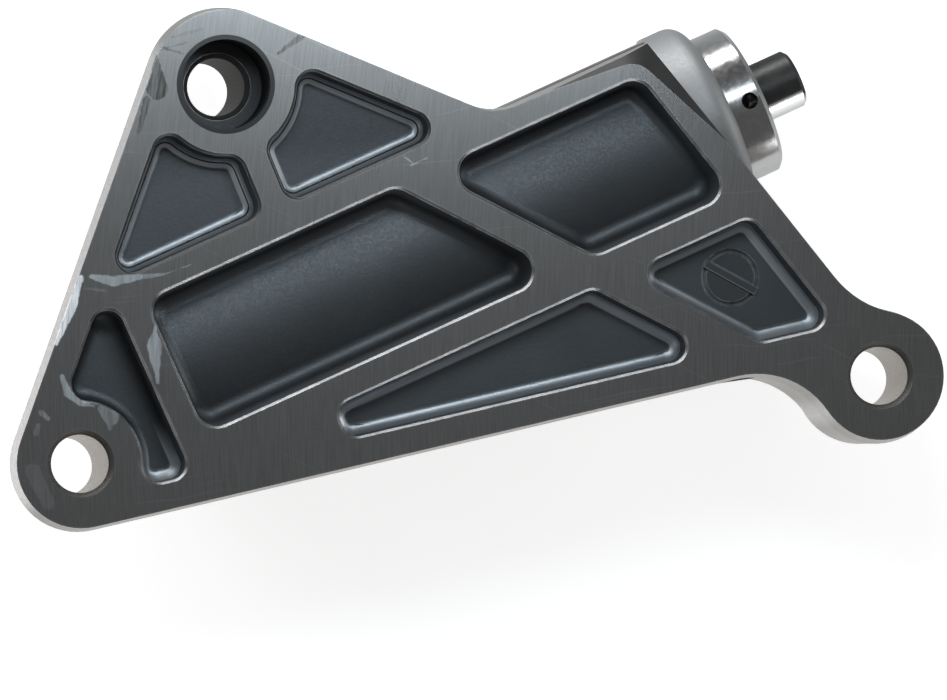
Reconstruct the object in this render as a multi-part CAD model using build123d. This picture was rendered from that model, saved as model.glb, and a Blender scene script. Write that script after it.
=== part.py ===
from build123d import *
import math
import os

os.makedirs("parts", exist_ok=True)

# All sizes are in millimetres and all angles in degrees.
# The frame: origin on the lower left bolt hole, in the plane of its back face,
# +X towards the lower right bolt hole, +Z towards the machined front face.

# Bolt pattern
lower_span = 126.5
upper_hole_x = 29.1
upper_hole_y = 55.9
bolt_hole_r = 4.5
hole_lead_in = 0.75
hole_lead_in_deep = 1.3
counterbore_r = 7.0
counterbore_deep = 9.0

# Levels of the casting
front_z = 19.0
plate_thick = 9.0
parting_deep = 4.5
upper_boss_drop = 9.0

# Outline of the plate, at the parting line
lower_boss_r = 10.5
upper_boss_r = 12.1
eye_r = 10.5
lower_edge_over_eye = 4.5
right_edge_past_eye = 4.5
valley_back = 41.3
corner_back = 14.4
valley_round = 8.0
neck_upper_round = 15.0
neck_lower_round = 13.0
front_draft = 6.0
back_draft = 12.0

# Hydraulic cylinder, cast in one with the plate
mouth_x = 114.7
mouth_y = 45.7
cylinder_heading = 18.05
cylinder_axis_deep = 20.6
cylinder_r = 15.0
cylinder_length = 106.5
nose_boss_r = 15.4
nose_boss_length = 6.6
nose_boss_round = 3.0
cylinder_end_round = 5.0

# Pockets and the ribs between them
rim = 4.8
rib = 4.5
slot_high = 10.9
slot_low = 11.7
slot_back = 103.5
diagonal_back = 58.3
diagonal_side = 12.0
diagonal_heading = -33.2
diagonal_width = 4.6
spoke_heading = -74.0
spoke_width = 4.3
low_pocket_back = 83.5
upper_ring_r = 11.1
lower_ring_r = 9.75
eye_ring_r = 9.8
pocket_deep = 5.5
pocket_draft = 4.0
pocket_corner = 2.6
pocket_floor_round = 1.9
slot_draft = 8.0
slot_corner = 3.4
slot_floor_round = 1.9
slot_deep = 9.0
slot_crown_deep = 5.8
slot_crown_r = 21.0
face_edge_break = 0.35
face_edge_slope = 45.0

# Flank that falls away from the machined face beside the cylinder
flank_start_back = 37.0
flank_corner_back = 17.6
flank_corner_side = 13.2
flank_end_back = 8.5
flank_end_side = -7.3
flank_corner_round = 4.0
flank_slope = 42.0
flank_deep = 4.4

# Plain round mould mark in the right-hand pocket, with a bar across it
mark_from_eye_x = -20.9
mark_from_eye_y = 17.8
mark_r = 4.4
mark_groove = 0.5
mark_deep = 0.35
mark_bar_wide = 1.3
mark_bar_tall = 0.5
mark_bar_heading = -34.6
mark_bar_reach = 4.6

# Back of the casting
lower_boss_back_r = 8.2
upper_boss_back_r = 8.0
boss_back_draft = 1.5
eye_arm_reach = 34.0
arm_wall = 3.2
arm_floor = 3.5
arm_level = 1.0
back_rib = 4.0
back_rib_level = 3.0
high_rib_back = 77.6

# Bore and the pieces that it holds, by their distance back from the mouth
collar_r = 12.1
collar_length = 22.0
collar_stand_out = 5.8
collar_edge = 0.7
main_bore_r = 11.0
main_bore_back = 98.0
set_hole_r = 1.3
set_hole_back = 2.45
collar_mouth_clearance = 0.25
lock_groove_back = 10.0
lock_wire_r = 0.8
lock_ring_gap = 20.0
o_ring_back = 15.5
o_ring_wire_r = 0.9
o_ring_groove_clear = 0.02
o_ring_groove_width = 2.5

rod_r = 4.65
rod_out = 7.9
rod_tip_round = 0.6
rod_travel = 8.0
running_gap = 0.03
stop_gap = 0.1

bush_r = 6.2
bush_back = 5.0
bush_length = 8.0

seal_r = 9.0
seal_back = 13.5
seal_length = 5.0
seal_case_wall = 0.6
seal_window_gap = 1.4
seal_lip_gap = 0.05
seal_web_gap = 0.6
seal_web_thick = 1.2
seal_web_step = 0.2
seal_lip_heel = 0.4
seal_lip_thick = 0.7
seal_lip_tip = 1.6
seal_relief = 0.5
seal_relief_back = 1.0
garter_wire_r = 0.45
garter_ring_r = 6.3
washer_thick = 1.0
washer_bore_gap = 0.6
circlip_thick = 1.0
circlip_bite = 0.9
circlip_gap = 40.0
circlip_bore_gap = 2.1

flange_r = 10.2
flange_thick = 5.0
socket_deep = 3.0
wear_groove_start = 1.1
wear_groove_width = 2.8
wear_groove_deep = 1.0
plunger_r = 5.97
plunger_length = 36.0
plunger_bore_r = 3.6
feed_hole_r = 0.8
feed_hole_back = 4.0
feed_hole_past_floor = 3.0

seat_r = 4.4
seat_thick = 1.6
seat_hole_r = 1.0
ball_r = 1.5
ball_gap = 0.02
cage_wall = 0.4
cage_cup_r = 2.3
cage_deep = 5.0
cage_hole_r = 0.8
ball_spring_wire_r = 0.15
ball_spring_r = 1.15
ball_spring_turns = 4

sleeve_r = 7.6
sleeve_bore_r = 6.0
sleeve_length = 46.0
sleeve_bottom = 2.5
sleeve_flange_thick = 2.0

spring_wire_r = 0.9
spring_mean_r = 9.2
spring_turns = 10
spring_seat_thick = 1.5

# Places worked out from the sizes above
plate_back_z = front_z - plate_thick
parting_z = front_z - parting_deep
axis_z = front_z - cylinder_axis_deep
lower_hole = Vector(0, 0)
eye_hole = Vector(lower_span, 0)
upper_hole = Vector(upper_hole_x, upper_hole_y)
above_slot = slot_high + rib
below_slot = slot_low + rib

# Working lengths: larger than the part, how far a cut runs past a face, and a touch
far = 400.0
cut_past = 1.0
touch = 0.01


def along(heading):
    """Unit vector in plan at a heading from +X."""
    return Vector(math.cos(math.radians(heading)), math.sin(math.radians(heading)))


axis_out = along(cylinder_heading)
axis_side = along(cylinder_heading + 90)
mouth = Vector(mouth_x, mouth_y)


def by_cylinder(back, side):
    """Plan point from its distance back from the mouth and its offset to the side."""
    return mouth - axis_out * back + axis_side * side


def tangent_point(start, centre, radius, left):
    """Where a line from start touches a circle, on the left or right of the way to its centre."""
    way = centre - start
    angle = math.degrees(math.acos(radius / way.length))
    turn = 180 - angle if left else 180 + angle
    return centre + way.normalized().rotate(Axis.Z, turn) * radius


def shared_tangent(centre_a, radius_a, centre_b, radius_b, turn):
    """Touching points of the outer line that two circles share, at a turn of +1 or -1 from a to b."""
    way = centre_b - centre_a
    angle = math.degrees(math.acos((radius_a - radius_b) / way.length))
    normal = way.normalized().rotate(Axis.Z, turn * angle)
    return centre_a + normal * radius_a, centre_b + normal * radius_b


def crossing_tangent(centre_a, radius_a, centre_b, radius_b):
    """Touching points of the line that leaves circle a on its right and passes circle b on its left."""
    way = centre_b - centre_a
    angle = math.degrees(math.acos((radius_a + radius_b) / way.length))
    normal = way.normalized().rotate(Axis.Z, -angle)
    return centre_a + normal * radius_a, centre_b - normal * radius_b


def cross_point(start_a, end_a, start_b, end_b):
    """Where two lines in plan cross."""
    way_a = end_a - start_a
    way_b = end_b - start_b
    between = start_b - start_a
    scale = way_a.X * way_b.Y - way_a.Y * way_b.X
    share = (between.X * way_b.Y - between.Y * way_b.X) / scale
    return start_a + way_a * share


def disc(centre, radius):
    return Pos(centre.X, centre.Y) * Circle(radius)


def left_of(point, heading):
    """All of the plan to the left of a line through a point."""
    place = Location((point.X, point.Y, 0), (0, 0, heading))
    return place * Pos(0, far / 2) * Rectangle(2 * far, far)


def near_vertices(face, points):
    return [face.vertices().sort_by_distance((p.X, p.Y, 0))[0] for p in points]


def straight_edges():
    """Ends of the plate's straight edges, clockwise: left, upper, beside the cylinder, right, lower."""
    left = shared_tangent(lower_hole, lower_boss_r, upper_hole, upper_boss_r, 1)
    low_start, low_end = crossing_tangent(lower_hole, lower_boss_r, eye_hole, lower_edge_over_eye)
    valley = by_cylinder(valley_back, cylinder_r)
    corner = by_cylinder(corner_back, cylinder_r)
    top_touch = tangent_point(valley, upper_hole, upper_boss_r, False)
    right_touch = tangent_point(corner, eye_hole, right_edge_past_eye, True)
    inner_end = cross_point(corner, right_touch, low_start, low_end)
    return left, (top_touch, valley), (valley, corner), (corner, inner_end), (inner_end, low_start)


def heading_of(start, end):
    return math.degrees(math.atan2(end.Y - start.Y, end.X - start.X))


def plate_outline():
    """Outline of the plate at the parting line."""
    edges = straight_edges()
    valley = edges[1][1]
    points = [p for edge in edges for p in edge]
    points = points[:4] + points[5:6] + points[7:8] + points[9:]
    body = make_face(Polyline(*[(p.X, p.Y) for p in points], close=True))
    outline = body + disc(lower_hole, lower_boss_r) + disc(upper_hole, upper_boss_r)
    outline = fillet(near_vertices(outline, [valley]), valley_round)
    outline = outline + disc(eye_hole, eye_r)
    on_eye = [v for v in outline.vertices() if abs((Vector(v.X, v.Y) - eye_hole).length - eye_r) < touch]
    upper = max(on_eye, key=lambda v: v.Y + v.X)
    outline = fillet(upper, neck_upper_round)
    on_eye = [v for v in outline.vertices() if abs((Vector(v.X, v.Y) - eye_hole).length - eye_r) < touch]
    lower = min(on_eye, key=lambda v: v.X)
    return fillet(lower, neck_lower_round)


def down(face, deep, draft):
    """Extrude a face in plan downwards from the level it lies on, drawn in by the draft."""
    return extrude(face, amount=deep, dir=(0, 0, -1), taper=draft)


def up(face, level, tall, draft=0):
    """Extrude a face in plan upwards from a level, drawn in by the draft."""
    return Pos(0, 0, level) * mirror(down(face, tall, draft), about=Plane.XY)


def at_level(face, z):
    return Pos(0, 0, z) * face


def strip(point, heading, width):
    """Endless strip in plan, centred on a line through a point."""
    return Location((point.X, point.Y, 0), (0, 0, heading)) * Rectangle(2 * far, width)


def rib_between(start, end, width, top, bottom):
    """Upright rib in plan from one point to another."""
    middle = (start + end) / 2
    length = (end - start).length
    base = Location((middle.X, middle.Y, 0), (0, 0, heading_of(start, end))) * Rectangle(length, width)
    return up(base, bottom, top - bottom)


def one_face(sketch):
    return max(sketch.faces(), key=lambda f: f.area)


def rounded(sketch, radius):
    face = Sketch() + one_face(sketch)
    return fillet(face.vertices(), radius)


def inset_half(edge, inset):
    """All of the plan that lies inside one straight edge by an inset."""
    start, end = edge
    heading = heading_of(start, end)
    inward = along(heading - 90)
    return left_of(start + inward * inset, heading + 180)


def inside_rim():
    """Ground inside the rim along the left, upper, right and lower edges."""
    left, upper, beside, right, lower = straight_edges()
    region = inset_half(left, rim) & inset_half(upper, rim)
    return region & inset_half(right, rim) & inset_half(lower, rim)


def pocket_faces():
    """The seven pockets of the front face, in plan. The first five are shallow."""
    inner = inside_rim()
    above = left_of(by_cylinder(0, above_slot), cylinder_heading)
    below = left_of(by_cylinder(0, -below_slot), cylinder_heading + 180)
    within = inset_half(straight_edges()[3], rim)
    within = within & left_of(by_cylinder(0, -slot_low), cylinder_heading)
    within = within & left_of(by_cylinder(0, slot_high), cylinder_heading + 180)
    past_slot = left_of(by_cylinder(slot_back + rib, 0), cylinder_heading + 90)
    before_end = left_of(by_cylinder(slot_back, 0), cylinder_heading - 90)
    diagonal_point = by_cylinder(diagonal_back, diagonal_side)
    diagonal = strip(diagonal_point, diagonal_heading, diagonal_width)
    left_part = left_of(diagonal_point, diagonal_heading + 180)
    right_part = left_of(diagonal_point, diagonal_heading)
    spoke = strip(upper_hole, spoke_heading, spoke_width)
    top = inner & above
    top = top - disc(upper_hole, upper_ring_r) - spoke
    right_of_spoke = left_of(upper_hole, spoke_heading)
    pocket_a = top & right_of_spoke
    pocket_b = top - right_of_spoke
    pocket_c = (inner & past_slot) - disc(lower_hole, lower_ring_r)
    edges = straight_edges()
    low = inset_half(edges[3], rim) & inset_half(edges[4], rim) & below
    low = low & left_of(by_cylinder(low_pocket_back, 0), cylinder_heading - 90)
    pocket_f = (low - diagonal) & left_part
    pocket_g = (low - diagonal - disc(eye_hole, eye_ring_r)) & right_part
    pocket_d = (within - diagonal) & left_part & before_end
    pocket_e = (within - diagonal) & right_part
    return pocket_a, pocket_b, pocket_c, pocket_f, pocket_g, pocket_d, pocket_e


def front_lip(face):
    """Broken edge where a pocket meets the machined face."""
    wider = offset(face, face_edge_break)
    return down(at_level(wider, front_z), face_edge_break, face_edge_slope)


def shallow_pocket(sketch):
    face = rounded(sketch, pocket_corner)
    core = down(at_level(face, front_z), pocket_deep, pocket_draft)
    floor = core.faces().sort_by(Axis.Z)[0]
    core = fillet(floor.edges(), pocket_floor_round)
    return core, front_lip(face)


def crown():
    """Long round top of the metal over the cylinder, which makes the floor of the deep slot."""
    middle = by_cylinder(cylinder_length / 2, 0)
    centre = (middle.X, middle.Y, front_z - slot_crown_deep - slot_crown_r)
    place = Plane(origin=centre, z_dir=(axis_out.X, axis_out.Y, 0))
    return place.location * Cylinder(slot_crown_r, 2 * cylinder_length)


def slot_pocket(sketch):
    face = rounded(sketch, slot_corner)
    core = down(at_level(face, front_z), slot_deep, slot_draft)
    core = core - crown()
    floor = core.faces().sort_by(Axis.Z)[0]
    core = fillet(floor.edges(), slot_floor_round)
    return core, front_lip(face)


def flank_cut():
    """Ground beside the cylinder where the cast surface falls away from the machined face."""
    start = by_cylinder(flank_start_back, cylinder_r)
    corner = by_cylinder(flank_corner_back, flank_corner_side)
    end = by_cylinder(flank_end_back, flank_end_side)
    after = end + (end - corner)
    above_start = start + Vector(0, far / 4)
    outside = after + axis_out * far / 4 + axis_side * far / 4
    points = [start, corner, after, outside, above_start]
    region = make_face(Polyline(*[(p.X, p.Y) for p in points], close=True))
    region = fillet(near_vertices(region, [corner]), flank_corner_round)
    return down(at_level(region, front_z), flank_deep, 90 - flank_slope)


def bolt_hole(centre, top, bottom):
    """Hole through a boss with its lead-in at the front."""
    place = Pos(centre.X, centre.Y, top)
    hole = Pos(0, 0, -(top - bottom) / 2) * Cylinder(bolt_hole_r, top - bottom + 2 * cut_past)
    lead = Pos(0, 0, -hole_lead_in_deep / 2) * Cone(bolt_hole_r, bolt_hole_r + hole_lead_in, hole_lead_in_deep)
    return place * (hole + lead)


def plate(outline):
    """Plate with draft both ways from its parting line."""
    front = up(outline, parting_z, parting_deep, front_draft)
    back = down(at_level(outline, parting_z), plate_thick - parting_deep, back_draft)
    return front + back


def boss_behind(centre, radius, bottom):
    tall = parting_z - bottom
    wide = radius + tall * math.tan(math.radians(boss_back_draft))
    return down(at_level(disc(centre, wide), parting_z), tall, boss_back_draft)


def eye_arm(outline):
    """The arm round the lower right bolt, as deep as the bosses and cored from behind."""
    region = outline & disc(eye_hole, eye_arm_reach)
    tall = parting_z - arm_level
    body = down(at_level(region, parting_z), tall, boss_back_draft)
    core = offset(region, -arm_wall - tall * math.tan(math.radians(boss_back_draft)))
    core = one_face(core - disc(eye_hole, eye_r))
    top = front_z - pocket_deep - arm_floor
    hollow = up(core, arm_level, top - arm_level, pocket_draft)
    body = body - hollow
    foot_r = eye_r - parting_z * math.tan(math.radians(boss_back_draft))
    return body + boss_behind(eye_hole, foot_r, 0)


def cylinder_place():
    """Where the cylinder's own axis lies: +Z out of the mouth."""
    return Plane(origin=(mouth_x, mouth_y, axis_z), x_dir=(0, 0, 1), z_dir=(axis_out.X, axis_out.Y, 0))


def turned(points):
    """Round solid about the cylinder's axis from (radius, distance back from the mouth) points."""
    face = make_face(Plane.XZ * Polyline(*[(r, -back) for r, back in points], close=True))
    return revolve(face, Axis.Z)


def on_cylinder(shape):
    return cylinder_place().location * shape


def tube(outer_r, inner_r, start, end):
    if inner_r == 0:
        return turned([(0, start), (outer_r, start), (outer_r, end), (0, end)])
    return turned([(inner_r, start), (outer_r, start), (outer_r, end), (inner_r, end)])


def wire_ring(ring_r, wire_r, back):
    return Pos(0, 0, -back) * Torus(ring_r, wire_r)


def gap_sector(angle, radius, start, end):
    """Wedge that opens a ring."""
    half = math.radians(angle / 2)
    tip = (0, 0)
    points = [tip, (radius * math.cos(half), radius * math.sin(half)), (radius, 0)]
    points = points + [(radius * math.cos(half), -radius * math.sin(half))]
    face = make_face(Polyline(*points, close=True))
    return up(face, -end, end - start)


def cylinder_body():
    """Outside of the cylinder, with the bare boss at its mouth end."""
    barrel = tube(cylinder_r, 0, collar_stand_out + nose_boss_round, cylinder_length)
    end = barrel.faces().sort_by(Axis.Z)[0]
    barrel = fillet(end.edges(), cylinder_end_round)
    nose = tube(nose_boss_r, 0, collar_stand_out, collar_stand_out + nose_boss_length)
    face = nose.faces().sort_by(Axis.Z)[-1]
    nose = fillet(face.edges(), nose_boss_round)
    return on_cylinder(barrel + nose)


def cylinder_bore():
    """Everything that is taken out of the cylinder."""
    mouth_bore = tube(collar_r, 0, collar_stand_out - cut_past, collar_length)
    main = tube(main_bore_r, 0, collar_length - cut_past, main_bore_back)
    groove = wire_ring(collar_r, lock_wire_r, lock_groove_back)
    return on_cylinder(mouth_bore + main + groove)


def mould_mark():
    """Groove and bar that a round die insert leaves on the pocket floor."""
    centre = eye_hole + Vector(mark_from_eye_x, mark_from_eye_y)
    floor = front_z - pocket_deep
    groove = up(disc(centre, mark_r) - disc(centre, mark_r - mark_groove), floor - mark_deep, 2 * mark_deep)
    reach = along(mark_bar_heading) * mark_bar_reach
    bar = rib_between(centre - reach, centre + reach, mark_bar_wide, floor + mark_bar_tall, floor - mark_deep)
    return groove, bar


def back_ribs():
    """Plain ribs behind the plate that tie the bosses to the cylinder."""
    top = parting_z
    low = rib_between(lower_hole, by_cylinder(slot_back, 0), back_rib, top, back_rib_level)
    high = rib_between(upper_hole, by_cylinder(high_rib_back, 0), back_rib, top, back_rib_level)
    inward = along(heading_of(*straight_edges()[4]) - 90)
    foot = rib_between(lower_hole, eye_hole + inward * lower_edge_over_eye, back_rib, top, back_rib_level)
    return low + high + foot


def housing():
    outline = plate_outline()
    body = plate(outline)
    body = body + boss_behind(lower_hole, lower_boss_back_r, 0)
    body = body + boss_behind(upper_hole, upper_boss_back_r, -upper_boss_drop)
    body = body + eye_arm(outline)
    body = body + back_ribs()
    body = body + cylinder_body()
    faces = pocket_faces()
    for sketch in faces[:5]:
        core, lip = shallow_pocket(sketch)
        body = body - core - lip
    for sketch in faces[5:]:
        core, lip = slot_pocket(sketch)
        body = body - core - lip
    body = body - flank_cut()
    body = body - bolt_hole(lower_hole, front_z, 0)
    body = body - bolt_hole(eye_hole, front_z, 0)
    seat = front_z - counterbore_deep
    body = body - bolt_hole(upper_hole, seat, -upper_boss_drop)
    sink = Pos(upper_hole.X, upper_hole.Y, seat + counterbore_deep / 2)
    body = body - sink * Cylinder(counterbore_r, counterbore_deep)
    groove, bar = mould_mark()
    body = body - groove + bar
    return body - cylinder_bore()


def guide_collar():
    """Steel collar in the mouth of the cylinder, which guides the rod and holds its seal."""
    wall = rod_r + collar_mouth_clearance
    seal_end = seal_back + seal_length
    groove_back = seal_end + washer_thick
    outer = [(collar_r - collar_edge, 0), (collar_r, collar_edge)]
    outer = outer + [(collar_r, collar_length), (seal_r, collar_length)]
    groove = [(seal_r, groove_back + circlip_thick), (seal_r + circlip_bite, groove_back + circlip_thick)]
    groove = groove + [(seal_r + circlip_bite, groove_back), (seal_r, groove_back)]
    inner = [(seal_r, seal_back), (bush_r, seal_back), (bush_r, bush_back), (wall, bush_back)]
    inner = inner + [(wall, collar_edge), (wall + collar_edge, 0)]
    body = turned(outer + groove + inner)
    hole_long = 2 * collar_r
    cross = Pos(collar_r, 0, -set_hole_back) * Rot(0, 90, 0) * Cylinder(set_hole_r, hole_long)
    body = body - cross
    body = body - wire_ring(collar_r, lock_wire_r, lock_groove_back)
    floor_r = collar_r - 2 * o_ring_wire_r - o_ring_groove_clear
    half = o_ring_groove_width / 2
    body = body - tube(collar_r + cut_past, floor_r, o_ring_back - half, o_ring_back + half)
    return on_cylinder(body)


def collar_lock_ring():
    ring = wire_ring(collar_r, lock_wire_r, lock_groove_back)
    reach = 2 * lock_wire_r
    gap = gap_sector(lock_ring_gap, 2 * collar_r, lock_groove_back - reach, lock_groove_back + reach)
    return on_cylinder(ring - gap)


def collar_o_ring():
    ring = wire_ring(collar_r - o_ring_wire_r, o_ring_wire_r, o_ring_back)
    return on_cylinder(ring)


def rod_bush():
    return on_cylinder(tube(bush_r, rod_r + running_gap, bush_back, bush_back + bush_length))


def oil_seal_case():
    end = seal_back + seal_length
    lip_r = rod_r + seal_window_gap
    points = [(lip_r, seal_back), (seal_r, seal_back), (seal_r, end), (seal_r - seal_case_wall, end)]
    points = points + [(seal_r - seal_case_wall, seal_back + seal_case_wall), (lip_r, seal_back + seal_case_wall)]
    return on_cylinder(turned(points))


def oil_seal_lip():
    """Rubber of the oil seal: a body in the case and a lip on the rod."""
    inner_wall = seal_r - seal_case_wall
    start = seal_back + seal_case_wall
    end = seal_back + seal_length
    lip = rod_r + seal_lip_gap
    web = start + seal_web_thick
    heel = end - seal_lip_heel
    points = [(lip + seal_web_gap, start), (inner_wall, start), (inner_wall, web)]
    points = points + [(garter_ring_r, web + seal_web_step), (garter_ring_r, heel), (lip + seal_lip_thick, heel)]
    points = points + [(lip, end - seal_lip_tip), (lip + seal_relief, start + seal_relief_back)]
    body = turned(points)
    body = body - wire_ring(garter_ring_r, garter_wire_r, end - seal_lip_tip)
    return on_cylinder(body)


def seal_garter_spring():
    end = seal_back + seal_length
    return on_cylinder(wire_ring(garter_ring_r, garter_wire_r, end - seal_lip_tip))


def seal_washer():
    start = seal_back + seal_length
    return on_cylinder(tube(seal_r - running_gap, rod_r + washer_bore_gap, start, start + washer_thick))


def retaining_ring():
    """Circlip that keeps the seal and its washer in the collar."""
    start = seal_back + seal_length + washer_thick
    end = start + circlip_thick
    ring = tube(seal_r + circlip_bite, rod_r + circlip_bore_gap, start, end)
    gap = gap_sector(circlip_gap, 2 * seal_r, start - cut_past, end + cut_past)
    return on_cylinder(ring - gap)


def flange_start():
    return collar_length + rod_travel + stop_gap


def push_rod():
    """Hardened rod with the flange that the spring works on."""
    start = flange_start()
    end = start + flange_thick
    ring_start = start + wear_groove_start
    ring_end = ring_start + wear_groove_width
    ring_r = flange_r - wear_groove_deep
    socket_r = plunger_r + running_gap
    tip = -rod_out
    points = [(0, tip), (rod_r - rod_tip_round, tip), (rod_r, tip + rod_tip_round), (rod_r, start)]
    points = points + [(flange_r, start), (flange_r, ring_start), (ring_r, ring_start)]
    points = points + [(ring_r, ring_end), (flange_r, ring_end), (flange_r, end)]
    points = points + [(socket_r, end), (socket_r, end - socket_deep), (0, end - socket_deep)]
    body = turned(points)
    cross = Pos(0, 0, -set_hole_back) * Rot(0, 90, 0) * Cylinder(set_hole_r, 3 * rod_r)
    return on_cylinder(body - cross)


def wear_ring():
    start = flange_start() + wear_groove_start
    ring_r = flange_r - wear_groove_deep
    return on_cylinder(tube(main_bore_r - running_gap, ring_r, start, start + wear_groove_width))


def plunger_span():
    start = flange_start() + flange_thick - socket_deep
    return start, start + plunger_length


def plunger():
    """Hollow plunger that carries the check valve at its inner end."""
    start, end = plunger_span()
    seat_start = end - seat_thick - cage_wall
    bore_start = start + feed_hole_back
    points = [(0, start), (plunger_r, start), (plunger_r, end), (seat_r, end), (seat_r, seat_start)]
    points = points + [(plunger_bore_r, seat_start), (plunger_bore_r, bore_start), (0, bore_start)]
    body = turned(points)
    feed = Rot(0, 90, 0) * Cylinder(feed_hole_r, 3 * plunger_r)
    feed = Pos(0, 0, -(bore_start + feed_hole_past_floor)) * feed
    return on_cylinder(body - feed)


def check_valve_seat():
    end = plunger_span()[1] - cage_wall
    return on_cylinder(tube(seat_r, seat_hole_r, end - seat_thick, end))


def ball_back():
    seat_face = plunger_span()[1] - cage_wall
    return seat_face + math.sqrt(ball_r**2 - seat_hole_r**2) + ball_gap


def check_ball():
    return on_cylinder(Pos(0, 0, -ball_back()) * Sphere(ball_r))


def check_ball_cage():
    """Pressed cup that keeps the ball and its spring over the seat."""
    start = plunger_span()[1] - cage_wall
    end = start + cage_deep
    cup_in = cage_cup_r - cage_wall
    points = [(cup_in, start), (seat_r, start), (seat_r, start + cage_wall), (cage_cup_r, start + cage_wall)]
    points = points + [(cage_cup_r, end), (cage_hole_r, end), (cage_hole_r, end - cage_wall)]
    points = points + [(cup_in, end - cage_wall)]
    return on_cylinder(turned(points))


def coil(wire_r, mean_r, turns, start, end):
    """Wire coil between two faces, with its wire clear of both."""
    reach = end - start - 2 * wire_r - 2 * stop_gap * min(1, wire_r)
    low = -(end - wire_r - stop_gap * min(1, wire_r))
    path = Pos(0, 0, low) * Helix(pitch=reach / turns, height=reach, radius=mean_r)
    section = Plane(origin=path @ 0, z_dir=path % 0) * Circle(wire_r)
    return sweep(section, path=path, is_frenet=True)


def check_ball_spring():
    touch = ball_back() + math.sqrt(ball_r**2 - ball_spring_r**2)
    cup_face = plunger_span()[1] - cage_wall + cage_deep - cage_wall
    return on_cylinder(coil(ball_spring_wire_r, ball_spring_r, ball_spring_turns, touch, cup_face))


def pressure_sleeve():
    """Hard sleeve on the floor of the bore, in which the plunger works."""
    end = main_bore_back
    start = end - sleeve_length
    flange_out = main_bore_r - running_gap
    bore_end = end - sleeve_bottom
    points = [(sleeve_bore_r, start), (sleeve_r, start), (sleeve_r, end - sleeve_flange_thick)]
    points = points + [(flange_out, end - sleeve_flange_thick), (flange_out, end), (0, end)]
    points = points + [(0, bore_end), (sleeve_bore_r, bore_end)]
    return on_cylinder(turned(points))


def spring_seat():
    end = main_bore_back - sleeve_flange_thick
    return on_cylinder(tube(main_bore_r - running_gap, sleeve_r + running_gap, end - spring_seat_thick, end))


def return_spring():
    start = flange_start() + flange_thick
    end = main_bore_back - sleeve_flange_thick - spring_seat_thick
    return on_cylinder(coil(spring_wire_r, spring_mean_r, spring_turns, start, end))


PIECES = {
    "housing": housing,
    "guide_collar": guide_collar,
    "collar_lock_ring": collar_lock_ring,
    "collar_o_ring": collar_o_ring,
    "rod_bush": rod_bush,
    "oil_seal_case": oil_seal_case,
    "oil_seal_lip": oil_seal_lip,
    "seal_garter_spring": seal_garter_spring,
    "seal_washer": seal_washer,
    "retaining_ring": retaining_ring,
    "push_rod": push_rod,
    "wear_ring": wear_ring,
    "plunger": plunger,
    "pressure_sleeve": pressure_sleeve,
    "spring_seat": spring_seat,
    "return_spring": return_spring,
    "check_valve_seat": check_valve_seat,
    "check_ball": check_ball,
    "check_ball_cage": check_ball_cage,
    "check_ball_spring": check_ball_spring,
}

for name, make in PIECES.items():
    export_step(make(), f"parts/{name}.step")
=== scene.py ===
import bpy
import math
from mathutils import Matrix, Vector


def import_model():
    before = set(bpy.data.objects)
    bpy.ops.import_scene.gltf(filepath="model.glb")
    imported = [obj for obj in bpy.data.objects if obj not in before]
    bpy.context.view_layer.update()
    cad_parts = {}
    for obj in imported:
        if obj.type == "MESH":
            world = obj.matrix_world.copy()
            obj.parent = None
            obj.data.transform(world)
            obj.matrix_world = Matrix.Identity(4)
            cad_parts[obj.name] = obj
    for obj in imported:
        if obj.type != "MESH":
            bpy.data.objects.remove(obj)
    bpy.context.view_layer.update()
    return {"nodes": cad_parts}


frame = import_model()

# Places in the part's own frame, in metres. They match the CAD.
FRONT_Z = 0.019
PLATE_BACK_Z = 0.010
CYLINDER_LOW_Z = -0.0166
LOWER_LEFT = Vector((0.0, 0.0, 0.0))
LOWER_RIGHT = Vector((0.1265, 0.0, 0.0))
UPPER = Vector((0.0291, 0.0559, 0.0))
PLATE_MIDDLE = Vector((0.052, 0.026, 0.0))
MOUTH = Vector((0.1147, 0.0457, -0.0016))
HEADING = math.radians(18.05)
AXIS = Vector((math.cos(HEADING), math.sin(HEADING), 0.0))
SIDE_WAY = Vector((-math.sin(HEADING), math.cos(HEADING), 0.0))
MARK = Vector((0.1056, 0.0178, 0.0))

# Sizes of the casting, in metres. They match the CAD.
LOWER_BOSS_R = 0.0105
UPPER_BOSS_R = 0.0121
EYE_REACH = 0.0045
CYLINDER_R = 0.015
VALLEY_BACK = 0.0413
CORNER_BACK = 0.0144
NOSE_R = 0.0154
NOSE_BACK = 0.0124
COLLAR_R = 0.0121

# How far the looks of the casting reach, in metres
SLACK = 0.0003
RIM_WIDE = 0.0025
BOSS_SKIN = 0.0012
FACE_BAND = (FRONT_Z - 0.00006, FRONT_Z - 0.00003)
LIP_DEEP = 0.0005
STROKE_DEEP = 0.0006
UPPER_POCKETS_Y = (0.040, 0.047)
SLOT_SIDE = 0.0125
SLOT_FLOOR_Y = (-0.001, 0.006)
HOLE_REACH = 0.0053
COUNTERBORE_REACH = 0.0077
COUNTERBORE_LOW_Z = 0.0098
MARK_REACH = 0.0045
FLANK_SIDE = 0.0112
FLANK_BORDER = 0.0004
FLANK_PAST_RIGHT = -0.0043
FLANK_FADE_BACK = (0.036, 0.056)
NOSE_SKIN = 0.00005
COLLAR_SKIN = 0.0001
NOSE_HIGH_Z = 0.01385
RUBBED_R = 0.0005

# How the casting faces under a look, as the upward part of its normal
FLAT = 0.995
STEEP = 0.5
FILLET_LEAST = 0.2
FILLET_BAND = (0.95, 0.99)
LIP_LEAST = 0.5
LIP_MOST = 0.9
HOLE_WALL = 0.9
MARK_BAND = (0.5, 0.95)
FLANK_FACING = 0.745
FLANK_SPREAD = 0.05
UPPER_SIDE_BAND = (0.0, 0.2)
LEFT_WALL_BAND = (-0.95, -0.7)


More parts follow.
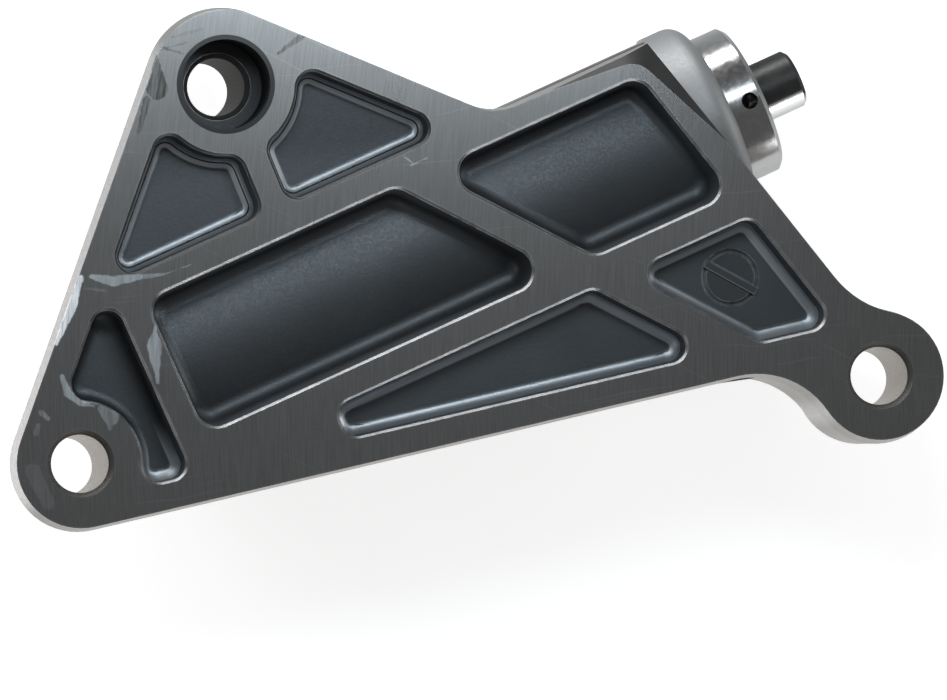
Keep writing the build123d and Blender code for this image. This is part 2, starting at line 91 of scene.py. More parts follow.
def edge_line(start, start_reach, end, end_reach, turn):
    """Outward normal and distance of a straight edge that passes two points at given reaches."""
    way = end - start
    angle = turn * math.acos((start_reach - end_reach) / way.length)
    normal = Matrix.Rotation(angle, 3, "Z") @ way.normalized()
    return normal, normal.dot(start) + start_reach


def beside_cylinder(back):
    """Point in plan on the cylinder's upper side, at a distance behind its mouth."""
    return MOUTH - AXIS * back + SIDE_WAY * CYLINDER_R - Vector((0, 0, MOUTH.z))


LEFT_EDGE = edge_line(LOWER_LEFT, LOWER_BOSS_R, UPPER, UPPER_BOSS_R, 1)
UPPER_EDGE = edge_line(beside_cylinder(VALLEY_BACK), 0.0, UPPER, UPPER_BOSS_R, -1)
RIGHT_EDGE = edge_line(beside_cylinder(CORNER_BACK), 0.0, LOWER_RIGHT, EYE_REACH, 1)
LOWER_EDGE = edge_line(LOWER_LEFT, LOWER_BOSS_R, LOWER_RIGHT, -EYE_REACH, -1)
CYLINDER_EDGE = (SIDE_WAY, SIDE_WAY.dot(beside_cylinder(0.0)))


def grey(level, tint=0.0):
    """Grey, cool with a positive tint and warm with a negative one."""
    return (level * (1 - tint), level, level * (1 + tint), 1.0)


# Colours of the casting
WHITE = grey(1.0)
POCKET_DARK = grey(0.085, 0.08)
POCKET_PALE = grey(0.125, 0.08)
POCKET_SPECK = grey(0.18, 0.05)
# Painted shade that darkens the upper pockets
UPPER_POCKET_PAINTED_SHADE = grey(0.04, 0.08)
RAW_DARK = (0.32, 0.305, 0.285, 1.0)
RAW_PALE = (0.42, 0.405, 0.385, 1.0)
RAW_SPECK = grey(0.2)
# Painted reflection: near white on walls that face left
LEFT_WALL_PAINTED_REFLECTION = (0.80, 0.77, 0.76, 1.0)
FEED_DARK = grey(0.285)
FEED_PALE = grey(0.345)
BRUSHED = grey(0.42)
PATCHED = grey(0.16, 0.05)
SCRATCHED = grey(0.5, 0.03)
# Painted highlight on the pocket fillets
FILLET_PAINTED_HIGHLIGHT = grey(0.5, 0.06)
LIP = grey(0.15, 0.03)
RUBBED = grey(0.62, 0.02)
HOLE_DARK = grey(0.16, -0.03)
HOLE_PALE = grey(0.42, -0.03)
HOLE_TINT = grey(0.75, -0.06)
COUNTERBORE_DARK = grey(0.04, 0.03)
COUNTERBORE_PALE = grey(0.09, 0.03)
COUNTERBORE_TINT = grey(0.3)
# Mould mark: its own darker tone, with painted shade on its steep sides
MARK_TONE_AND_PAINTED_SHADE = grey(0.03, 0.05)
# Painted shade on the flank and on the cylinder's upper side
FLANK_PAINTED_SHADE_DARK = grey(0.04)
FLANK_PAINTED_SHADE_PALE = grey(0.07)
NOSE_DARK = grey(0.26, 0.02)
NOSE_PALE = grey(0.34, 0.02)

# Most that a look covers of what lies under it
SPECK_SHARE = 0.5
PAINTED_SHADE_SHARE = 0.5
RAW_SPECK_SHARE = 0.35
BRUSHED_SHARE = 0.3
PATCH_SHARE = 0.25
SCRATCH_SHARE = 0.22
RUBBED_SHARE = 0.55
MARK_SHARES = (0.85, 0.25)
STREAK_SHARES = (0.55, 1.0)

# Roughness and metalness of the casting
CAST_ROUGH = (0.46, 0.6)
FACE_ROUGH = (0.252, 0.258)
PATCH_ROUGH = 0.05
FILLET_ROUGH = 0.44
LIP_ROUGH = 0.4
HOLE_ROUGH = (0.22, 0.36)
FLANK_ROUGH = 0.55
NOSE_ROUGH = (0.55, 0.65)
CAST_METAL = 0.85

# Noise scales of the casting, in turns per metre
GRAIN_SCALE = 1900.0
SOFT_SCALE = 70.0
PATCH_SCALE = 28.0
WANDER_SCALE = 60.0
RAGGED_SCALE = 700.0
RUBBED_SCALE = 240.0
RING_SCALE = 6000.0

# Cutter marks: arcs round a far point, and stray scratches, in turns per metre
CUTTER = Vector((0.40, -0.03, 0.0))
CUTTER_SCALE = 4200.0
FEED_ALONG = 130.0
BRUSHED_ACROSS = 2.1
BRUSHED_ALONG = 420.0
STREAK_ALONG = 300.0
SCRATCH_ACROSS = 1900.0
SCRATCH_ALONG = 40.0
SLANT_WAY = Vector((0.55, 0.83, 0.0))
SLANT_ACROSS = 2100.0
SLANT_ALONG = 35.0
WANDER = 0.004

# Bands of a noise's range that a ramp spreads out
WIDE_BAND = (0.3, 0.7)
MIDDLE_BAND = (0.35, 0.65)
HIGH_BAND = (0.55, 0.8)
GRAIN_ROUGH_BAND = (0.3, 0.75)
RAW_SPECK_BAND = (0.35, 0.7)
SCRATCH_BAND = (0.66, 0.72)
SLANT_BAND = (0.68, 0.74)
RUBBED_BAND = (0.35, 0.6)
EDGE_BAND = (0.90, 0.985)

# Bump of the casting: heights of its grain and of its face, strength, and distance in metres
GRAIN_HEIGHT = 1.6
FACE_HEIGHT = 0.8
BUMP_STRENGTH = 0.4
BUMP_DISTANCE = 0.00005

# Marks on the front face, as strokes: start, its half width, end, its half width, strength
WORN = [
    ((0.0048, 0.0286), 0.0003, (0.0080, 0.0275), 0.0008, 0.8),
    ((0.0080, 0.0275), 0.0008, (0.0124, 0.0277), 0.0004, 0.7),
    ((0.0124, 0.0277), 0.0004, (0.0163, 0.0277), 0.00015, 0.5),
    ((0.0163, 0.0277), 0.0001, (0.0204, 0.0287), 0.0001, 0.5),
    ((0.0036, 0.0268), 0.0001, (0.0066, 0.0262), 0.0003, 0.2),
    ((0.0139, 0.0198), 0.0001, (0.0134, 0.0166), 0.0012, 0.75),
    ((0.0134, 0.0166), 0.0012, (0.0133, 0.0112), 0.0002, 0.75),
    ((-0.0014, 0.0137), 0.0003, (-0.0008, 0.0110), 0.0006, 0.8),
    ((-0.0008, 0.0110), 0.0006, (0.0009, 0.0093), 0.0004, 0.8),
    ((0.0009, 0.0093), 0.0004, (0.0029, 0.0086), 0.0002, 0.8),
    ((0.0040, 0.0080), 0.0005, (0.0055, 0.0066), 0.0013, 0.4),
    ((0.0055, 0.0066), 0.0011, (0.0051, 0.0048), 0.0003, 0.35),
    ((-0.0054, 0.0085), 0.0004, (-0.0044, 0.0075), 0.0003, 0.45),
    ((-0.0064, 0.0055), 0.0005, (-0.0060, 0.0066), 0.0003, 0.25),
    ((-0.0076, -0.0004), 0.0012, (-0.0058, -0.0055), 0.0010, 0.15),
    ((0.0094, -0.0012), 0.0007, (0.0096, -0.0024), 0.0006, 0.15),
    ((0.0545, 0.0430), 0.0001, (0.0570, 0.0405), 0.0001, 0.5),
    ((0.0565, 0.0403), 0.0001, (0.0590, 0.0412), 0.0001, 0.4),
]
BRIGHT = [
    ((0.0032, 0.0284), 0.0004, (0.0012, 0.0240), 0.0007, 1.0),
    ((0.0012, 0.0240), 0.0007, (-0.0018, 0.0188), 0.0003, 1.0),
]
SMUDGED = [
    ((0.0188, 0.0614), 0.0002, (0.0184, 0.0563), 0.0017, 1.0),
    ((0.0166, 0.0548), 0.0006, (0.0146, 0.0498), 0.0003, 1.0),
    ((0.0190, 0.0630), 0.0002, (0.0232, 0.0612), 0.0001, 0.8),
    ((0.0192, 0.0622), 0.0001, (0.0240, 0.0630), 0.0001, 0.6),
    ((0.0215, 0.0640), 0.0002, (0.0262, 0.0648), 0.0003, 0.4),
    ((0.0378, 0.0598), 0.0002, (0.0420, 0.0622), 0.0005, 0.7),
]
STROKE_BORDER = 0.00012
STROKE_RAGGED = 0.0009

# Strokes with their colour, roughness and metalness
SCUFFS = [
    (WORN, (0.42, 0.47, 0.50, 1.0), 0.6, 0.75),
    (BRIGHT, (0.93, 0.97, 1.0, 1.0), 0.5, 0.0),
    (SMUDGED, (0.045, 0.045, 0.042, 1.0), 0.55, 0.8),
]


class Tree:
    """Short calls for building one material's node tree."""

    def __init__(self, name):
        self.mat = bpy.data.materials.new(name)
        self.mat.use_nodes = True
        self.nodes = self.mat.node_tree.nodes
        self.links = self.mat.node_tree.links
        self.nodes.clear()
        self.bsdf = self.nodes.new("ShaderNodeBsdfPrincipled")
        out = self.nodes.new("ShaderNodeOutputMaterial")
        self.links.new(self.bsdf.outputs[0], out.inputs[0])
        coordinates = self.nodes.new("ShaderNodeTexCoord")
        self.place = coordinates.outputs["Object"]
        self.facing = coordinates.outputs["Normal"]

    def put(self, socket, value):
        if hasattr(value, "is_output"):
            self.links.new(value, socket)
        else:
            socket.default_value = value

    def math(self, kind, a, b=0.0, clamp=False):
        node = self.nodes.new("ShaderNodeMath")
        node.operation = kind
        node.use_clamp = clamp
        self.put(node.inputs[0], a)
        self.put(node.inputs[1], b)
        return node.outputs[0]

    def plus(self, a, b):
        return self.math("ADD", a, b)

    def minus(self, a, b):
        return self.math("SUBTRACT", a, b)

    def above(self, a, b):
        return self.math("GREATER_THAN", a, b)

    def below(self, a, b):
        return self.math("LESS_THAN", a, b)

    def larger(self, a, b):
        return self.math("MAXIMUM", a, b)

    def times(self, first, *others):
        product = first
        for other in others:
            product = self.math("MULTIPLY", product, other)
        return product

    def vector(self, kind, a, b=(0, 0, 0)):
        node = self.nodes.new("ShaderNodeVectorMath")
        node.operation = kind
        self.put(node.inputs[0], a)
        self.put(node.inputs[1], b)
        return node.outputs["Value" if kind in ("DOT_PRODUCT", "LENGTH") else "Vector"]

    def scaled(self, vector, factor):
        node = self.nodes.new("ShaderNodeVectorMath")
        node.operation = "SCALE"
        self.put(node.inputs[0], vector)
        self.put(node.inputs["Scale"], factor)
        return node.outputs["Vector"]

    def dot(self, a, b):
        return self.vector("DOT_PRODUCT", a, b)

    def length(self, a):
        return self.vector("LENGTH", a)

    def split(self, vector):
        node = self.nodes.new("ShaderNodeSeparateXYZ")
        self.put(node.inputs[0], vector)
        return node.outputs

    def join(self, x, y, z):
        node = self.nodes.new("ShaderNodeCombineXYZ")
        for socket, value in zip(node.inputs, (x, y, z)):
            self.put(socket, value)
        return node.outputs[0]

    def noise(self, place, scale, detail=4.0, rough=0.6):
        node = self.nodes.new("ShaderNodeTexNoise")
        self.put(node.inputs["Vector"], place)
        node.inputs["Scale"].default_value = scale
        node.inputs["Detail"].default_value = detail
        node.inputs["Roughness"].default_value = rough
        return node.outputs[0]

    def ramp(self, value, low, high, out_low=0.0, out_high=1.0):
        node = self.nodes.new("ShaderNodeMapRange")
        node.interpolation_type = "SMOOTHSTEP"
        node.clamp = True
        for name, number in (("Value", value), ("From Min", low), ("From Max", high),
                             ("To Min", out_low), ("To Max", out_high)):
            self.put(node.inputs[name], number)
        return node.outputs[0]

    def fade(self, value, low, high):
        """1 below a band, falling to 0 above it."""
        return self.ramp(value, low, high, 1.0, 0.0)

    def mix(self, share, a, b):
        """Colour a where share is 0, and colour b where it is 1."""
        node = self.nodes.new("ShaderNodeMix")
        node.data_type = "RGBA"
        self.put(node.inputs[0], share)
        self.put(node.inputs[6], a)
        self.put(node.inputs[7], b)
        return node.outputs[2]

    def blend(self, share, a, b):
        """Number a where share is 0, and number b where it is 1."""
        node = self.nodes.new("ShaderNodeMix")
        node.data_type = "FLOAT"
        self.put(node.inputs[0], share)
        self.put(node.inputs[2], a)
        self.put(node.inputs[3], b)
        return node.outputs[0]

    def bump(self, height, strength, distance):
        node = self.nodes.new("ShaderNodeBump")
        node.inputs["Strength"].default_value = strength
        node.inputs["Distance"].default_value = distance
        self.put(node.inputs["Height"], height)
        return node.outputs[0]

    def edges(self, radius):
        """Near 1 on flat ground, lower beside an edge."""
        bevel = self.nodes.new("ShaderNodeBevel")
        bevel.samples = 4
        bevel.inputs["Radius"].default_value = radius
        geometry = self.nodes.new("ShaderNodeNewGeometry")
        return self.dot(bevel.outputs[0], geometry.outputs["Normal"])

    def finish(self, color, metal, rough, normal=None):
        self.put(self.bsdf.inputs["Base Color"], color)
        self.put(self.bsdf.inputs["Metallic"], metal)
        self.put(self.bsdf.inputs["Roughness"], rough)
        if normal is not None:
            self.links.new(normal, self.bsdf.inputs["Normal"])
        return self.mat


class Casting(Tree):
    """The housing's material: a ground and the looks laid over it, one short method each."""

    def __init__(self):
        super().__init__("cast_aluminium")
        self.x, self.y, self.z = self.split(self.place)
        self.facing_x, _, self.facing_z = self.split(self.facing)
        from_mouth = self.vector("SUBTRACT", self.place, MOUTH)
        self.back = self.dot(from_mouth, -AXIS)
        self.side = self.dot(from_mouth, SIDE_WAY)
        self.grain = self.noise(self.place, GRAIN_SCALE, rough=0.72)
        self.soft = self.noise(self.place, SOFT_SCALE)
        self.patches = self.noise(self.place, PATCH_SCALE, detail=3.0, rough=0.5)
        self.across = self.times(self.plan_distance(CUTTER), CUTTER_SCALE)
        self.feed = self.streaks(self.across, self.times(self.y, FEED_ALONG), 0.0)
        self.raw = self.outer_wall()
        self.ground()

    def plan_distance(self, centre):
        """Distance from an upright axis."""
        return self.length(self.join(self.minus(self.x, centre.x), self.minus(self.y, centre.y), 0.0))

    def reach_past(self, *edges):
        """How far a point lies outside some straight edges, or inside the nearest of them."""
        past = -1.0
        for normal, reach in edges:
            past = self.larger(past, self.minus(self.dot(self.place, normal), reach))
        return past

    def streaks(self, x, y, seed, detail=3.0, rough=0.7):
        return self.noise(self.join(x, y, seed), 1.0, detail, rough)

    def paint(self, share, color=None, rough=None, metal=None):
        """Lays a colour, a roughness or a metalness over the last one, where share is 1."""
        if color is not None:
            self.color = self.mix(share, self.color, color)
        if rough is not None:
            self.rough = self.blend(share, self.rough, rough)
        if metal is not None:
            self.metal = self.blend(share, self.metal, metal)

    def outer_wall(self):
        """1 on the outside of the casting, 0 on its face and in its pockets."""
        left_of_valley = self.reach_past(LEFT_EDGE, UPPER_EDGE, LOWER_EDGE)
        right_of_valley = self.reach_past(RIGHT_EDGE, LOWER_EDGE, CYLINDER_EDGE)
        past_edge = self.blend(self.above(self.back, VALLEY_BACK), right_of_valley, left_of_valley)
        from_middle = self.vector("SUBTRACT", self.place, PLATE_MIDDLE)
        level_facing = self.vector("MULTIPLY", self.facing, (1.0, 1.0, 0.0))
        outward = self.above(self.dot(level_facing, from_middle), 0.0)
        near_rim = self.above(past_edge, -RIM_WIDE)
        for centre, boss_r in ((LOWER_LEFT, LOWER_BOSS_R), (UPPER, UPPER_BOSS_R)):
            round_boss = self.above(self.plan_distance(centre), boss_r - BOSS_SKIN)
            inward = self.dot(self.vector("SUBTRACT", self.place, centre), PLATE_MIDDLE - centre)
            near_rim = self.larger(near_rim, self.times(round_boss, self.below(inward, 0.0)))
        wall = self.larger(self.times(outward, near_rim), self.above(past_edge, SLACK))
        wall = self.times(wall, self.below(self.facing_z, STEEP))
        return self.larger(wall, self.below(self.z, PLATE_BACK_Z - SLACK))

    def cast_color(self):
        """Dark in the pockets, with painted shade making the upper ones darkest, and pale on the raw
        outside, with a painted reflection making walls that face left near white.
        """
        specks = self.times(self.ramp(self.grain, *HIGH_BAND), SPECK_SHARE)
        pocket = self.mix(self.soft, POCKET_DARK, POCKET_PALE)
        pocket = self.mix(specks, pocket, POCKET_SPECK)
        # Painted shade: the upper pockets are darkened towards the top
        pocket = self.mix(self.ramp(self.y, *UPPER_POCKETS_Y, 0.0, PAINTED_SHADE_SHARE), pocket, UPPER_POCKET_PAINTED_SHADE)
        raw = self.mix(self.soft, RAW_DARK, RAW_PALE)
        # Painted reflection: walls that face left are turned near white
        raw = self.mix(self.fade(self.facing_x, *LEFT_WALL_BAND), raw, LEFT_WALL_PAINTED_REFLECTION)
        speckled = self.mix(RAW_SPECK_SHARE, raw, RAW_SPECK)
        raw = self.mix(self.ramp(self.grain, *RAW_SPECK_BAND), speckled, raw)
        return self.mix(self.raw, pocket, raw)

    def scratches(self):
        """Fine hairs on the machined face, level ones and slanting ones."""
        wander = self.times(self.noise(self.place, WANDER_SCALE, 2.0, 0.5), WANDER)
        along = self.plus(self.times(self.x, SCRATCH_ALONG), wander)
        across = self.times(self.plus(self.y, wander), SCRATCH_ACROSS)
        level = self.ramp(self.streaks(along, across, 3.0, 2.0, 0.4), *SCRATCH_BAND)
        across = self.times(self.dot(self.place, SLANT_WAY), SLANT_ACROSS)
        along = self.times(self.x, SLANT_ALONG)
        slanting = self.ramp(self.streaks(across, along, 7.0, 2.0, 0.4), *SLANT_BAND)
        return self.larger(level, slanting)

    def face_color(self):
        """Arcs that the cutter left, dull patches and scratches."""
        finer = self.times(self.across, BRUSHED_ACROSS)
        brushed = self.streaks(finer, self.times(self.y, BRUSHED_ALONG), 5.0)
        color = self.mix(self.ramp(self.feed, *MIDDLE_BAND), FEED_DARK, FEED_PALE)
        color = self.mix(self.ramp(brushed, *HIGH_BAND, 0.0, BRUSHED_SHARE), color, BRUSHED)
        color = self.mix(self.times(self.patches, PATCH_SHARE), color, PATCHED)
        return self.mix(self.times(self.scratches(), SCRATCH_SHARE), color, SCRATCHED)

    def ground(self):
        """Bare casting, with a machined face where it is level with the front and faces out."""
        face = self.times(self.ramp(self.z, *FACE_BAND), self.above(self.facing_z, FLAT))
        self.color = self.mix(face, self.cast_color(), self.face_color())
        cast_rough = self.ramp(self.grain, *GRAIN_ROUGH_BAND, *CAST_ROUGH)
        face_rough = self.plus(self.ramp(self.feed, *WIDE_BAND, *FACE_ROUGH),
                               self.times(self.patches, PATCH_ROUGH))
        self.rough = self.blend(face, cast_rough, face_rough)
        self.metal = self.blend(face, CAST_METAL, 1.0)
        height = self.blend(face, self.times(self.grain, GRAIN_HEIGHT), FACE_HEIGHT)
        self.normal = self.bump(height, BUMP_STRENGTH, BUMP_DISTANCE)

    def fillet_painted_highlights(self):
        """Painted highlight on every smooth fillet round the floors of the pockets."""
        curved = self.times(self.fade(self.facing_z, *FILLET_BAND),
                            self.above(self.facing_z, FILLET_LEAST))
        beside_slot = self.above(self.math("ABSOLUTE", self.side), SLOT_SIDE)
        off_slot_floor = self.larger(beside_slot, self.fade(self.y, *SLOT_FLOOR_Y))
        inside = self.minus(1.0, self.raw)
        # Painted highlight: a pale colour laid on every fillet
        self.paint(self.times(curved, off_slot_floor, inside), FILLET_PAINTED_HIGHLIGHT, FILLET_ROUGH)

    def lips(self):
        """The broken edge of every pocket."""
        near_front = self.above(self.z, FRONT_Z - LIP_DEEP)
        slope = self.times(self.below(self.facing_z, LIP_MOST), self.above(self.facing_z, LIP_LEAST))
        self.paint(self.times(near_front, slope), LIP, LIP_ROUGH)

    def stroke(self, start, start_reach, end, end_reach, ragged):
        """1 inside a stroke that runs from one round end to another in plan, with a ragged border."""
        way = Vector(end) - Vector(start)
        from_start_x = self.minus(self.x, start[0])
        from_start_y = self.minus(self.y, start[1])
        along = self.plus(self.times(from_start_x, way.x), self.times(from_start_y, way.y))
        along = self.math("DIVIDE", along, way.length_squared, clamp=True)
        off_x = self.minus(from_start_x, self.times(along, way.x))
        off_y = self.minus(from_start_y, self.times(along, way.y))
        away = self.length(self.join(off_x, off_y, 0.0))
        reach = self.plus(start_reach, self.times(along, end_reach - start_reach))
        past = self.minus(self.plus(away, ragged), reach)
        return self.fade(past, -STROKE_BORDER, STROKE_BORDER)

    def scuffs(self):
        """Milky worn strokes, bare bright ones and dull smudges on the front face."""
        uneven = self.minus(self.noise(self.place, RAGGED_SCALE, 5.0, 0.7), 0.5)
        ragged = self.times(uneven, STROKE_RAGGED)
        lines = self.noise(self.join(self.across, self.times(self.y, STREAK_ALONG), 9.0), 0.7, 2.0, 0.5)
        streaky = self.ramp(lines, *WIDE_BAND, *STREAK_SHARES)
        on_face = self.above(self.z, FRONT_Z - STROKE_DEEP)
        for strokes, color, rough, metal in SCUFFS:
            spot = 0.0
            for start, start_reach, end, end_reach, strength in strokes:
                one = self.stroke(start, start_reach, end, end_reach, ragged)
                spot = self.larger(spot, self.times(one, strength))
            self.paint(self.times(spot, streaky, on_face), color, rough, metal)

    def rubbed_edges(self):
        """Edges rubbed bright here and there."""
        rubbed = self.fade(self.edges(RUBBED_R), *EDGE_BAND)
        here = self.ramp(self.noise(self.place, RUBBED_SCALE, rough=0.7), *RUBBED_BAND)
        self.paint(self.times(rubbed, here, RUBBED_SHARE), RUBBED)

    def bolt_holes(self):
        """Clean drilled metal with fine rings, and a dark counterbore at the upper hole."""
        hole = 0.0
        for centre in (LOWER_LEFT, LOWER_RIGHT, UPPER):
            hole = self.larger(hole, self.below(self.plan_distance(centre), HOLE_REACH))
        rings = self.streaks(0.0, 0.0, self.times(self.z, RING_SCALE))
        self.paint(hole, self.mix(self.ramp(rings, *MIDDLE_BAND), HOLE_DARK, HOLE_PALE),
                   self.ramp(rings, *WIDE_BAND, *HOLE_ROUGH))
        counterbore = self.below(self.plan_distance(UPPER), COUNTERBORE_REACH)
        sunk = self.times(counterbore, self.above(self.z, COUNTERBORE_LOW_Z), self.minus(1.0, hole))
        self.paint(sunk, self.mix(rings, COUNTERBORE_DARK, COUNTERBORE_PALE))
        wall = self.times(counterbore, self.below(self.facing_z, HOLE_WALL))
        tint = self.mix(wall, self.mix(hole, WHITE, HOLE_TINT), COUNTERBORE_TINT)
        self.put(self.bsdf.inputs["Specular Tint"], tint)

    def mould_mark_and_painted_shade(self):
        """Darker than the floor round it, and darker still on its steep sides, where the darkening is
        painted shade.
        """
        mark = self.below(self.plan_distance(MARK), MARK_REACH)
        # Painted shade on the mark's steep sides, over a lighter darkening of its top
        share = self.ramp(self.facing_z, *MARK_BAND, *MARK_SHARES)
        self.paint(self.times(mark, share), MARK_TONE_AND_PAINTED_SHADE)

    def flank_painted_shade(self):
        """Painted shade on the slope beside the cylinder and on the cylinder's upper side, duller than
        the pockets.
        """
        past_side = self.ramp(self.side, FLANK_SIDE, FLANK_SIDE + FLANK_BORDER)
        past_right = self.above(self.reach_past(RIGHT_EDGE), FLANK_PAST_RIGHT)
        off_facing = self.math("ABSOLUTE", self.minus(self.facing_z, FLANK_FACING))
        slope = self.times(self.larger(past_side, past_right), self.below(off_facing, FLANK_SPREAD))
        patchy = self.times(self.minus(self.soft, 0.5), 0.3)
        facing_up = self.ramp(self.plus(self.facing_z, patchy), *UPPER_SIDE_BAND)
        behind_nose = self.above(self.back, NOSE_BACK)
        behind_plate = self.below(self.z, PLATE_BACK_Z - SLACK)
        near_mouth = self.fade(self.back, *FLANK_FADE_BACK)
        upper_side = self.times(self.above(self.side, FLANK_SIDE), facing_up, behind_nose,
                                behind_plate, near_mouth)
        # Painted shade: the slope and the upper side are painted near black
        self.paint(self.larger(slope, upper_side), self.mix(self.soft, FLANK_PAINTED_SHADE_DARK, FLANK_PAINTED_SHADE_PALE),
                   FLANK_ROUGH)

    def nose(self):
        """Bare blasted boss at the mouth of the cylinder."""
        to_mouth = self.vector("SUBTRACT", MOUTH, self.place)
        off_axis = self.length(self.vector("SUBTRACT", to_mouth, self.scaled(AXIS, self.back)))
        in_boss = self.below(off_axis, NOSE_R + NOSE_SKIN)
        near_mouth = self.below(self.back, NOSE_BACK - NOSE_SKIN)
        round_collar = self.above(off_axis, COLLAR_R - COLLAR_SKIN)
        low = self.below(self.z, NOSE_HIGH_Z)
        self.paint(self.times(in_boss, near_mouth, round_collar, low),
                   self.mix(self.soft, NOSE_DARK, NOSE_PALE),
                   self.ramp(self.grain, *WIDE_BAND, *NOSE_ROUGH))


def cast_aluminium():
    casting = Casting()
    casting.fillet_painted_highlights()
    casting.lips()
    casting.scuffs()
    casting.rubbed_edges()
    casting.bolt_holes()
    casting.mould_mark_and_painted_shade()
    casting.flank_painted_shade()
    casting.nose()
    return casting.finish(casting.color, casting.metal, casting.rough, casting.normal)


# Grain of the small pieces: noise scales in turns per metre, bump distances in metres
STEEL_SCALE = 900.0
STEEL_BUMP_SCALE = 4000.0
STEEL_BUMP = 0.00002
PLAIN_SCALE = 1200.0
PLAIN_BUMP = 0.00003


def steel(name, level, rough):
    t = Tree(name)
    fine = t.noise(t.place, STEEL_SCALE)
    height = t.noise(t.place, STEEL_BUMP_SCALE, 2.0, 0.5)
    color = t.mix(fine, grey(level * 0.85), grey(level * 1.12))
    rough_here = t.ramp(fine, *WIDE_BAND, rough * 0.8, rough * 1.25)
    return t.finish(color, 1.0, rough_here, t.bump(height, 0.1, STEEL_BUMP))


def plain(name, rgb, rough, metal=0.0):
    t = Tree(name)
    fine = t.noise(t.place, PLAIN_SCALE)
    dark = tuple(c * 0.8 for c in rgb) + (1.0,)
    pale = tuple(min(1.0, c * 1.2) for c in rgb) + (1.0,)
    rough_here = t.ramp(fine, *WIDE_BAND, rough * 0.85, rough * 1.15)
    return t.finish(t.mix(fine, dark, pale), metal, rough_here, t.bump(fine, 0.2, PLAIN_BUMP))


def rod_steel():
    """Dark hardened rod, with a painted reflection along its lower side."""
    t = Tree("rod_steel")
    fine = t.noise(t.place, PLAIN_SCALE)
    # Painted reflection: the lower side is pale with a white reflection tint
    bright = t.ramp(t.dot(t.facing, -SIDE_WAY), 0.42, 0.6)
    color = t.mix(bright, t.mix(fine, grey(0.035), grey(0.055)), grey(0.7))
    rough = t.blend(bright, t.ramp(fine, *WIDE_BAND, 0.34, 0.46), 0.25)
    t.put(t.bsdf.inputs["Specular Tint"], t.mix(bright, grey(0.35), WHITE))
    return t.finish(color, t.blend(bright, 0.6, 1.0), rough, t.bump(fine, 0.15, PLAIN_BUMP))


def assign(material, *names):
    for name in names:
        node = frame["nodes"][name]
        node.data.materials.clear()
        node.data.materials.append(material)


# Camera, fitted to the photo: angles in radians, distances in metres, sensor in millimetres
CAMERA_TILT = math.radians(9.7)
CAMERA_BEARING = math.radians(184.7)
CAMERA_ROLL = math.radians(-6.377)
CAMERA_AIM = Vector((0.063103, 0.010838, FRONT_Z))
CAMERA_AWAY = 3.0
CAMERA_CLIP = 20.0
FOCAL_PIXELS = 19350.0
PHOTO_WIDE = 947.0
SENSOR_WIDE = 36.0


def add_camera():
    lean = math.sin(CAMERA_TILT)
    back_way = Vector((lean * math.cos(CAMERA_BEARING), lean * math.sin(CAMERA_BEARING),
                       math.cos(CAMERA_TILT)))
    right_way = Vector((0, 1, 0)).cross(back_way).normalized()
    right_way = Matrix.Rotation(CAMERA_ROLL, 3, back_way) @ right_way
    up_way = back_way.cross(right_way)
    turn = Matrix((right_way, up_way, back_way)).transposed()
    data = bpy.data.cameras.new("camera")
    data.sensor_width = SENSOR_WIDE
    data.lens = SENSOR_WIDE * FOCAL_PIXELS / PHOTO_WIDE
    data.clip_end = CAMERA_CLIP
    camera = bpy.data.objects.new("camera", data)
    camera.matrix_world = Matrix.Translation(CAMERA_AIM + back_way * CAMERA_AWAY) @ turn.to_4x4()
    bpy.context.scene.collection.objects.link(camera)
    bpy.context.scene.camera = camera


# Floor: pale near the viewer and greyer on the far side, in metres
FLOOR_DROP = 0.0005
FLOOR_HALF = 3.0
FLOOR_NEAR = grey(0.8)
FLOOR_FAR = grey(0.35)
FLOOR_ROUGH = 0.9
FAR_SIDE_Y = (0.05, 0.12)
NEAR_SIDE_Y = (-0.01, 0.06)
FLOOR_GLOW = 0.65
FAR_GLOW = 1.4


def floor_material():
    """Glows to the camera, so that the ground stays white, and on its near side to mirroring metal."""
    t = Tree("floor")
    y = t.split(t.place)[1]
    far_side = t.ramp(y, *FAR_SIDE_Y)
    path = t.nodes.new("ShaderNodeLightPath")
    direct = t.times(path.outputs["Is Camera Ray"], t.blend(far_side, 1.0, FAR_GLOW))
    mirrored = t.times(path.outputs["Is Glossy Ray"], t.fade(y, *NEAR_SIDE_Y))
    t.put(t.bsdf.inputs["Emission Color"], WHITE)
    t.put(t.bsdf.inputs["Emission Strength"], t.times(t.larger(direct, mirrored), FLOOR_GLOW))
    return t.finish(t.mix(far_side, FLOOR_NEAR, FLOOR_FAR), 0.0, FLOOR_ROUGH)


def floor():
    mesh = bpy.data.meshes.new("floor")
    z = CYLINDER_LOW_Z - FLOOR_DROP
    corners = [(-FLOOR_HALF, -FLOOR_HALF, z), (FLOOR_HALF, -FLOOR_HALF, z),
               (FLOOR_HALF, FLOOR_HALF, z), (-FLOOR_HALF, FLOOR_HALF, z)]
    mesh.from_pydata(corners, [], [(0, 1, 2, 3)])
    mesh.materials.append(floor_material())
    obj = bpy.data.objects.new("floor", mesh)
    bpy.context.scene.collection.objects.link(obj)


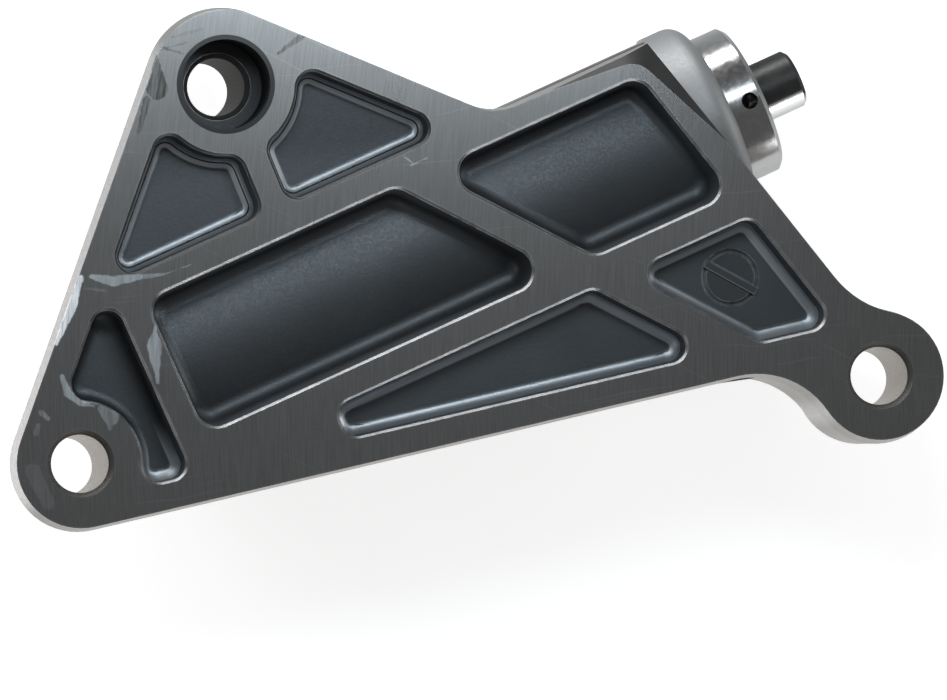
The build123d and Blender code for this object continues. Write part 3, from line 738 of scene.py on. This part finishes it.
def softbox(name, place, aim, size, power, color=(1.0, 1.0, 1.0)):
    data = bpy.data.lights.new(name, "AREA")
    data.color = color
    data.shape = "RECTANGLE"
    data.size, data.size_y = size
    data.energy = power
    light = bpy.data.objects.new(name, data)
    light.location = place
    way = Vector(aim) - Vector(place)
    light.rotation_euler = way.to_track_quat("-Z", "Y").to_euler()
    bpy.context.scene.collection.objects.link(light)


def world(strength):
    room = bpy.data.worlds.new("world")
    bpy.context.scene.world = room
    room.use_nodes = True
    background = room.node_tree.nodes["Background"]
    background.inputs["Color"].default_value = WHITE
    background.inputs["Strength"].default_value = strength


assign(cast_aluminium(), "housing")
assign(steel("collar_steel", level=0.45, rough=0.19), "guide_collar")
assign(rod_steel(), "push_rod")
assign(steel("spring_steel", level=0.3, rough=0.3), "return_spring", "collar_lock_ring",
       "seal_garter_spring", "retaining_ring", "check_ball_spring")
assign(steel("pressed_steel", level=0.4, rough=0.35), "oil_seal_case", "seal_washer", "spring_seat",
       "check_ball_cage")
assign(steel("inner_steel", level=0.45, rough=0.2), "plunger", "pressure_sleeve", "check_valve_seat")
assign(steel("ball_steel", level=0.6, rough=0.08), "check_ball")
assign(plain("bush_bronze", rgb=(0.5, 0.33, 0.15), rough=0.4, metal=1.0), "rod_bush")
assign(plain("seal_rubber", rgb=(0.02, 0.02, 0.02), rough=0.6), "collar_o_ring", "oil_seal_lip")
assign(plain("wear_plastic", rgb=(0.06, 0.06, 0.06), rough=0.5), "wear_ring")

add_camera()
floor()

# Lights: places and sizes in metres, powers in watts
PART_CENTRE = (0.06, 0.03, 0.0)
world(strength=0.155)
softbox("top_near", place=(0.045, 0.108, 0.165), aim=(0.035, 0.068, 0.019), size=(0.17, 0.035),
        power=0.15, color=(0.84, 0.94, 1.0))
softbox("back_low", place=(-0.2, 0.72, 0.13), aim=(0.05, 0.05, 0.01), size=(1.0, 0.22), power=7.5)
softbox("table_left", place=(-0.75, -0.25, 0.25), aim=PART_CENTRE, size=(0.5, 0.25), power=0.6)
softbox("table_front", place=(0.38, -1.05, 0.16), aim=PART_CENTRE, size=(0.9, 0.24), power=7.5)
softbox("table_right", place=(1.1, 0.2, 0.25), aim=PART_CENTRE, size=(0.5, 0.25), power=2.5)

bpy.context.scene.view_settings.view_transform = "Standard"
